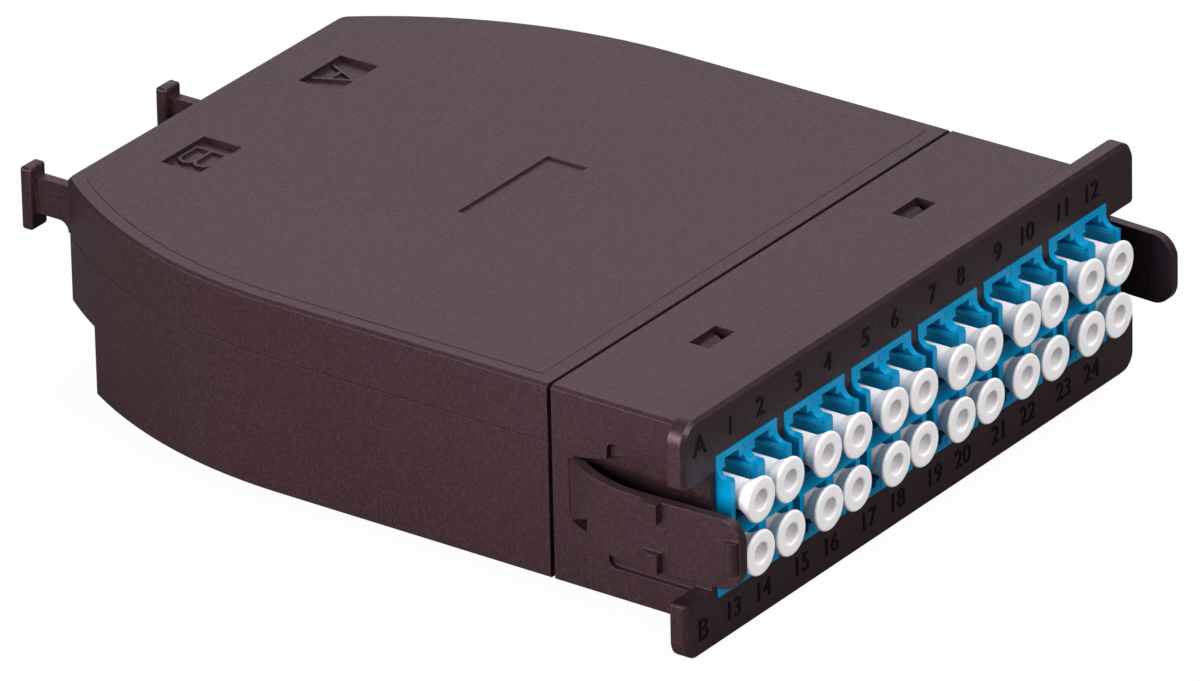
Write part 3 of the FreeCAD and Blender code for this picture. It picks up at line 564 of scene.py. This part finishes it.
@dataclass
class AdapterBank:
    """Six quad adapters with their inner plugs and sleeves, and the ejector marks on their rims.

    Attributes:
        count: Number of adapters.
        rim_y: Front face of the rims.
        mark_z: Height of the upper marks above the middle, and depth of the lower ones below it.
        mark_radius: Radius of a mark.
        mark_rise: How far a mark stands proud.
        mark_sides: Sides of a mark's outline.
    """

    count: int = 6
    rim_y: float = -2.5 * MM
    mark_z: float = 8.75 * MM
    mark_radius: float = 0.62 * MM
    mark_rise: float = 0.07 * MM
    mark_sides: int = 28

    def build(self) -> bpy.types.Object:
        """Dresses the adapters and what they hold, and makes the ejector marks.

        Returns:
            The marks.
        """
        for number in range(1, self.count + 1):
            dress(f"lc_adapter_{number}", ADAPTER_BLUE)
            dress(f"sleeve_set_{number}", CERAMIC_WHITE)
            dress(f"lc_plug_set_{number}", PLUG_BLUE)
        first, last = self._middle(1), self._middle(self.count)
        marks = self._shape().mesh("ejector_marks", {
            "Span": last - first, "Rows Apart": 2 * self.mark_z, "Radius": self.mark_radius,
            "Rise": self.mark_rise, "Place": Vector(((first + last) / 2, self.rim_y, 0.0))})
        return settle(piece_of("ejector_marks", [marks]), Body.CASE)

    def _middle(self, number: int) -> float:
        """Distance of an adapter's centre along the plate.

        Args:
            number: The adapter, counted from 1 on the left.

        Returns:
            The distance from the middle, to the right.
        """
        low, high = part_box(f"lc_adapter_{number}")
        return (low.x + high.x) / 2

    def _shape(self) -> NodeShape:
        """Tree of the marks: two rows of low round pads, one pad to an adapter in each.

        Returns:
            The shape.
        """
        shape = NodeShape("ejector_marks", {
            "Span": ("NodeSocketFloat", 0.0), "Rows Apart": ("NodeSocketFloat", 2 * self.mark_z),
            "Radius": ("NodeSocketFloat", self.mark_radius), "Rise": ("NodeSocketFloat", self.mark_rise),
            "Place": ("NodeSocketVector", (0.0, 0.0, 0.0))})
        writer = shape.writer
        rows = writer.add("GeometryNodeMeshGrid")
        rows.inputs["Vertices X"].default_value = self.count
        rows.inputs["Vertices Y"].default_value = 2
        double = writer.add("ShaderNodeMath", operation="MULTIPLY")
        double.inputs[1].default_value = 2.0
        pad = writer.add("GeometryNodeMeshCylinder", fill_type="NGON")
        pad.inputs["Vertices"].default_value = self.mark_sides
        spread = writer.add("GeometryNodeInstanceOnPoints")
        place = writer.add("GeometryNodeTransform")
        place.inputs["Rotation"].default_value = UPRIGHT
        writer.join(shape.entry.outputs["Span"], rows.inputs["Size X"])
        writer.join(shape.entry.outputs["Rows Apart"], rows.inputs["Size Y"])
        writer.join(shape.entry.outputs["Radius"], pad.inputs["Radius"])
        writer.join(shape.entry.outputs["Rise"], double.inputs[0])
        writer.join(double.outputs[0], pad.inputs["Depth"])
        writer.join(rows.outputs["Mesh"], spread.inputs["Points"])
        writer.join(pad.outputs["Mesh"], spread.inputs["Instance"])
        writer.join(spread.outputs["Instances"], place.inputs["Geometry"])
        writer.join(shape.entry.outputs["Place"], place.inputs["Translation"])
        shape.close(place.outputs["Geometry"], ADAPTER_BLUE)
        return shape


@dataclass
class DustCaps:
    """One cap in each port."""

    count: int = 24

    def build(self) -> None:
        """Dresses the caps."""
        for number in range(1, self.count + 1):
            dress(f"dust_cap_{number:02d}", CAP_WHITE)


@dataclass
class RearPorts:
    """The two multi-fibre adapters, their inner plugs and harnesses, and the details of the ferrules' faces.

    Attributes:
        face_y: Face of the ferrules.
        pins_apart: Distance between the two guide pins of a ferrule.
        pin_radius: Radius of a guide pin.
        pin_length: Length of a guide pin, half of it inside the ferrule.
        fibres: Fibre ends in a ferrule.
        fibre_pitch: Distance between two fibre ends.
        fibre_radius: Radius of a fibre.
        fibre_length: Length of a fibre's end, half of it inside the ferrule.
        rod_sides: Sides of the outline of a pin or a fibre.
    """

    face_y: float = 101.6 * MM
    pins_apart: float = 4.6 * MM
    pin_radius: float = 0.35 * MM
    pin_length: float = 1.8 * MM
    fibres: int = 12
    fibre_pitch: float = 0.25 * MM
    fibre_radius: float = 0.0625 * MM
    fibre_length: float = 0.03 * MM
    rod_sides: int = 20

    def build(self) -> list[bpy.types.Object]:
        """Dresses the ports and makes the guide pins and the fibre ends.

        Returns:
            The pins and the fibre ends of both ports.
        """
        made = []
        pins = self._row_shape("guide_pins", PIN_STEEL)
        ends = self._row_shape("fibre_ends", FIBRE_GLASS)
        for letter in "ab":
            dress(f"mpo_adapter_{letter}", PORT_BLACK)
            dress(f"mpo_plug_{letter}", FERRULE_GREY)
            dress(f"harness_{letter}", JACKET_AQUA)
            low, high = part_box(f"mpo_plug_{letter}")
            middle = Vector(((low.x + high.x) / 2, self.face_y, (low.z + high.z) / 2))
            pair = pins.mesh(f"guide_pins_{letter}", {
                "Count": 2, "Apart": self.pins_apart, "Radius": self.pin_radius,
                "Length": self.pin_length, "Place": middle})
            line = ends.mesh(f"fibre_ends_{letter}", {
                "Count": self.fibres, "Apart": self.fibre_pitch, "Radius": self.fibre_radius,
                "Length": self.fibre_length, "Place": middle})
            made.append(settle(piece_of(f"guide_pins_{letter}", [pair]), Body.CASE))
            made.append(settle(piece_of(f"fibre_ends_{letter}", [line]), Body.CASE))
        return made

    def _row_shape(self, name: str, finish: MouldedPlastic | PolishedMetal) -> NodeShape:
        """Tree of a row of round rods that stand on a face and point to the rear.

        Args:
            name: Name of the tree.
            finish: Finish of the rods.

        Returns:
            The shape.
        """
        shape = NodeShape(name, {
            "Count": ("NodeSocketInt", 2), "Apart": ("NodeSocketFloat", self.pins_apart),
            "Radius": ("NodeSocketFloat", self.pin_radius), "Length": ("NodeSocketFloat", self.pin_length),
            "Place": ("NodeSocketVector", (0.0, 0.0, 0.0))})
        writer = shape.writer
        step = writer.add("ShaderNodeCombineXYZ")
        line = writer.add("GeometryNodeMeshLine")
        rod = writer.add("GeometryNodeMeshCylinder", fill_type="NGON")
        rod.inputs["Vertices"].default_value = self.rod_sides
        spread = writer.add("GeometryNodeInstanceOnPoints")
        spread.inputs["Rotation"].default_value = UPRIGHT
        last = writer.add("ShaderNodeMath", operation="SUBTRACT")
        last.inputs[1].default_value = 1.0
        half = writer.add("ShaderNodeMath", operation="MULTIPLY")
        half.inputs[1].default_value = -0.5
        shift = writer.add("ShaderNodeMath", operation="MULTIPLY")
        start = writer.add("ShaderNodeCombineXYZ")
        place = writer.add("GeometryNodeTransform")
        writer.join(shape.entry.outputs["Apart"], step.inputs["X"])
        writer.join(shape.entry.outputs["Count"], line.inputs["Count"])
        writer.join(step.outputs["Vector"], line.inputs["Offset"])
        writer.join(shape.entry.outputs["Count"], last.inputs[0])
        writer.join(last.outputs[0], half.inputs[0])
        writer.join(half.outputs[0], shift.inputs[0])
        writer.join(shape.entry.outputs["Apart"], shift.inputs[1])
        writer.join(shift.outputs[0], start.inputs["X"])
        writer.join(start.outputs["Vector"], line.inputs["Start Location"])
        writer.join(shape.entry.outputs["Radius"], rod.inputs["Radius"])
        writer.join(shape.entry.outputs["Length"], rod.inputs["Depth"])
        writer.join(line.outputs["Mesh"], spread.inputs["Points"])
        writer.join(rod.outputs["Mesh"], spread.inputs["Instance"])
        writer.join(spread.outputs["Instances"], place.inputs["Geometry"])
        writer.join(shape.entry.outputs["Place"], place.inputs["Translation"])
        shape.close(place.outputs["Geometry"], finish)
        return shape


@dataclass
class PlateMarks:
    """Numbers beside the ports and a letter at the end of each row, raised from the face plate.

    Attributes:
        height: Height of the numbers.
        letter_height: Height of the letters.
        relief: How far the marks stand proud.
        upper_z: Middle of the upper row of marks.
        lower_z: Middle of the lower row of marks.
        letter_x: Middle of the letters.
        cap_height: Height of a capital in the font, as a share of its size.
        ports_in_row: Ports in a row.
    """

    height: float = 2.5 * MM
    letter_height: float = 2.9 * MM
    relief: float = 0.12 * MM
    upper_z: float = 12.3 * MM
    lower_z: float = -12.5 * MM
    letter_x: float = -45.3 * MM
    cap_height: float = 0.7
    ports_in_row: int = 12

    def build(self) -> bpy.types.Object:
        """Makes the marks as one piece on the case.

        Returns:
            The piece.
        """
        shape = self._shape()
        face_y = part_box("front_housing")[0].y
        meshes = []
        ports = self._port_places()
        for index, x in enumerate(ports):
            for text, z in ((index + 1, self.upper_z), (index + 1 + len(ports), self.lower_z)):
                meshes.append(self._mark(shape, str(text), self.height, Vector((x, face_y, z))))
        for text, z in (("A", self.upper_z), ("B", self.lower_z)):
            meshes.append(self._mark(shape, text, self.letter_height, Vector((self.letter_x, face_y, z))))
        return settle(piece_of("plate_marks", meshes), Body.CASE)

    def _port_places(self) -> list[float]:
        """Distance of each port's centre along the plate.

        Returns:
            The distances, from left to right.
        """
        places = []
        for number in range(1, self.ports_in_row + 1):
            low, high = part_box(f"dust_cap_{number:02d}")
            places.append((low.x + high.x) / 2)
        return places

    def _shape(self) -> NodeShape:
        """Tree of one raised mark.

        Returns:
            The shape.
        """
        shape = NodeShape("raised_mark", {
            "Text": ("NodeSocketString", "1"), "Size": ("NodeSocketFloat", self.height / self.cap_height),
            "Relief": ("NodeSocketFloat", self.relief), "Place": ("NodeSocketVector", (0.0, 0.0, 0.0))})
        writer = shape.writer
        text = writer.add("GeometryNodeStringToCurves", align_x="CENTER", align_y="MIDDLE")
        fill = writer.add("GeometryNodeFillCurve", mode="TRIANGLES")
        raised = writer.add("GeometryNodeExtrudeMesh")
        raised.inputs["Individual"].default_value = False
        place = writer.add("GeometryNodeTransform")
        place.inputs["Rotation"].default_value = UPRIGHT
        writer.join(shape.entry.outputs["Text"], text.inputs["String"])
        writer.join(shape.entry.outputs["Size"], text.inputs["Size"])
        real = writer.add("GeometryNodeRealizeInstances")
        writer.join(text.outputs["Curve Instances"], real.inputs["Geometry"])
        writer.join(real.outputs["Geometry"], fill.inputs["Curve"])
        writer.join(fill.outputs["Mesh"], raised.inputs["Mesh"])
        writer.join(shape.entry.outputs["Relief"], raised.inputs["Offset Scale"])
        writer.join(raised.outputs["Mesh"], place.inputs["Geometry"])
        writer.join(shape.entry.outputs["Place"], place.inputs["Translation"])
        # The near-black finish of the raised marks is painted shade.
        shape.close(place.outputs["Geometry"], MARK_PAINTED_SHADE_BLACK)
        return shape

    def _mark(self, shape: NodeShape, text: str, height: float, place: Vector) -> bpy.types.Mesh:
        """Makes one mark.

        Args:
            shape: Tree of the marks.
            text: What it says.
            height: Height of its figures.
            place: Its centre on the plate's face.

        Returns:
            Its mesh.
        """
        return shape.mesh(f"mark_{text}", {"Text": text, "Size": height / self.cap_height,
                                           "Relief": self.relief, "Place": place})


# ---------------------------------------------------------------------------------------------------
# Studio
# ---------------------------------------------------------------------------------------------------


@dataclass(frozen=True)
class Lamp:
    """Square softbox that faces the object.

    Attributes:
        name: Its name.
        place: Its position.
        size: Length of its side.
        power: Its power in watts.
        colour: Colour of its light.
    """

    name: str
    place: tuple[float, float, float]
    size: float
    power: float
    colour: Colour = WHITE

    def build(self) -> None:
        """Adds the lamp."""
        data = bpy.data.lights.new(self.name, "AREA")
        data.shape = "SQUARE"
        data.size = self.size
        data.energy = self.power
        data.color = self.colour
        lamp = bpy.data.objects.new(self.name, data)
        low, high = CAD_BOUNDS
        middle = (Vector(low) + Vector(high)) / 2
        lamp.location = self.place
        lamp.rotation_euler = (middle - Vector(self.place)).to_track_quat("-Z", "Y").to_euler()
        bpy.context.scene.collection.objects.link(lamp)


@dataclass
class Studio:
    """Pale floor, soft lamps and the camera.

    Attributes:
        floor_size: Length of the floor's sides.
        floor_drop: How far the floor lies below the face plate's lower edge.
        azimuth: Direction from which the camera looks, round the upright axis.
        elevation: Height of the camera over the object, as an angle.
        roll: Turn of the camera about its own line of sight.
        distance: Distance of the camera from the point that it looks at.
        lens: Focal length in millimetres.
        sensor: Width of the camera's sensor in millimetres.
        aim_across: How far that point lies to the right of the frame's origin, as the camera sees it.
        aim_up: How far it lies above the origin, as the camera sees it.
        aim_y: How far it lies behind the origin.
        ambient: Strength of the light from all round.
        floor_bounce: Grey level of the light that the floor sends back to the object.
        floor_tone: Grey level of the part of the floor that takes the shadow.
        floor_evenness: Share of the floor that is plain white, which leaves the rest for the shadow.
        lamps: The lamps.
    """

    floor_size: float = 6.0
    floor_drop: float = 0.01 * MM
    azimuth: float = math.radians(-53.863)
    elevation: float = math.radians(26.11)
    roll: float = math.radians(-1.246)
    distance: float = 1.65738
    lens: float = 405.5
    sensor: float = 36.0
    aim_across: float = -37.92 * MM
    aim_up: float = 6.79 * MM
    aim_y: float = -1.6 * MM
    ambient: float = 0.1
    floor_bounce: float = 0.12
    floor_tone: float = 0.8
    floor_evenness: float = 0.95
    lamps: tuple[Lamp, ...] = (
        Lamp("overhead", (0.42, -0.2, 1.25), 1.0, 14.0),
        Lamp("front", (-0.1, -1.2, 0.8), 0.8, 16.0),
        Lamp("rear_right", (0.95, 0.7, 0.6), 0.9, 2.6, (1.0, 0.84, 0.96)),
        Lamp("rear_left", (-0.75, 0.8, 0.1), 0.7, 12.0, (1.0, 0.88, 0.94)),
        Lamp("near_left", (-0.21, 0.03, 0.05), 0.1, 0.55, (1.0, 0.93, 0.96)))

    def build(self) -> None:
        """Sets up floor, world, lamps and camera."""
        self._floor()
        self._world()
        for lamp in self.lamps:
            lamp.build()
        self._camera()
        bpy.context.scene.view_settings.view_transform = "Standard"

    def _camera_axes(self) -> tuple[Vector, Vector, Vector]:
        """Directions of the camera.

        Returns:
            Its right, its up and its backward direction.
        """
        back = Vector((math.sin(self.azimuth) * math.cos(self.elevation),
                       -math.cos(self.azimuth) * math.cos(self.elevation), math.sin(self.elevation)))
        right = Vector((math.cos(self.azimuth), math.sin(self.azimuth), 0.0))
        up = back.cross(right)
        rolled_right = math.cos(self.roll) * right + math.sin(self.roll) * up
        rolled_up = math.cos(self.roll) * up - math.sin(self.roll) * right
        return rolled_right, rolled_up, back

    def _camera(self) -> None:
        """Camera with a long lens, in front of the cassette, to its left and above it."""
        right, up, back = self._camera_axes()
        data = bpy.data.cameras.new("camera")
        data.lens = self.lens
        data.sensor_width = self.sensor
        data.sensor_fit = "HORIZONTAL"
        data.clip_start = 0.05
        data.clip_end = 30.0
        camera = bpy.data.objects.new("camera", data)
        aim = self.aim_across * right + self.aim_up * up + Vector((0, self.aim_y, 0))
        place = aim + self.distance * back
        turn = Matrix((right, up, back)).transposed().to_4x4()
        camera.matrix_world = Matrix.Translation(place) @ turn
        bpy.context.scene.collection.objects.link(camera)
        bpy.context.scene.camera = camera

    def _floor(self) -> None:
        """Floor under the face plate's lower edge."""
        low, _ = CAD_BOUNDS
        half = self.floor_size / 2
        mesh = bpy.data.meshes.new("floor")
        corners = [(-half, -half), (half, -half), (half, half), (-half, half)]
        mesh.from_pydata([(x, y, low[2] - self.floor_drop) for x, y in corners], [], [(0, 1, 2, 3)])
        floor = bpy.data.objects.new("floor", mesh)
        bpy.context.scene.collection.objects.link(floor)
        floor.data.materials.append(self._floor_material())

    def _floor_material(self) -> bpy.types.Material:
        """Matt grey that a camera sees as white, with a faint shadow.

        Returns:
            The material.
        """
        made = bpy.data.materials.new("floor_white")
        writer = blank_tree(made)
        bounce = writer.add("ShaderNodeBsdfDiffuse")
        bounce.inputs["Color"].default_value = (*[self.floor_bounce] * 3, 1.0)
        shaded = writer.add("ShaderNodeBsdfDiffuse")
        shaded.inputs["Color"].default_value = (*[self.floor_tone] * 3, 1.0)
        white = writer.add("ShaderNodeEmission")
        white.inputs["Color"].default_value = (*WHITE, 1.0)
        seen = writer.add("ShaderNodeMixShader")
        seen.inputs[0].default_value = self.floor_evenness
        rays = writer.add("ShaderNodeLightPath")
        mix = writer.add("ShaderNodeMixShader")
        output = writer.add("ShaderNodeOutputMaterial")
        writer.join(shaded.outputs["BSDF"], seen.inputs[1])
        writer.join(white.outputs["Emission"], seen.inputs[2])
        writer.join(rays.outputs["Is Camera Ray"], mix.inputs[0])
        writer.join(bounce.outputs["BSDF"], mix.inputs[1])
        writer.join(seen.outputs["Shader"], mix.inputs[2])
        writer.join(mix.outputs["Shader"], output.inputs["Surface"])
        return made

    def _world(self) -> None:
        """Even, dim surroundings, white only where a camera sees them."""
        world = bpy.data.worlds.new("studio")
        bpy.context.scene.world = world
        writer = blank_tree(world)
        soft = writer.add("ShaderNodeBackground")
        soft.inputs["Color"].default_value = (*WHITE, 1.0)
        soft.inputs["Strength"].default_value = self.ambient
        seen = writer.add("ShaderNodeBackground")
        seen.inputs["Color"].default_value = (*WHITE, 1.0)
        seen.inputs["Strength"].default_value = 1.0
        rays = writer.add("ShaderNodeLightPath")
        mix = writer.add("ShaderNodeMixShader")
        output = writer.add("ShaderNodeOutputWorld")
        writer.join(rays.outputs["Is Camera Ray"], mix.inputs[0])
        writer.join(soft.outputs["Background"], mix.inputs[1])
        writer.join(seen.outputs["Background"], mix.inputs[2])
        writer.join(mix.outputs["Shader"], output.inputs["Surface"])


def main() -> None:
    """Builds the cassette's looks and the studio."""
    logging.basicConfig(level=logging.INFO, format="%(name)s: %(message)s")
    Studio().build()
    for assembly in (CaseShells(), LatchPair(), AdapterBank(), DustCaps(), RearPorts(), PlateMarks()):
        assembly.build()


if __name__ == "__main__":
    main()
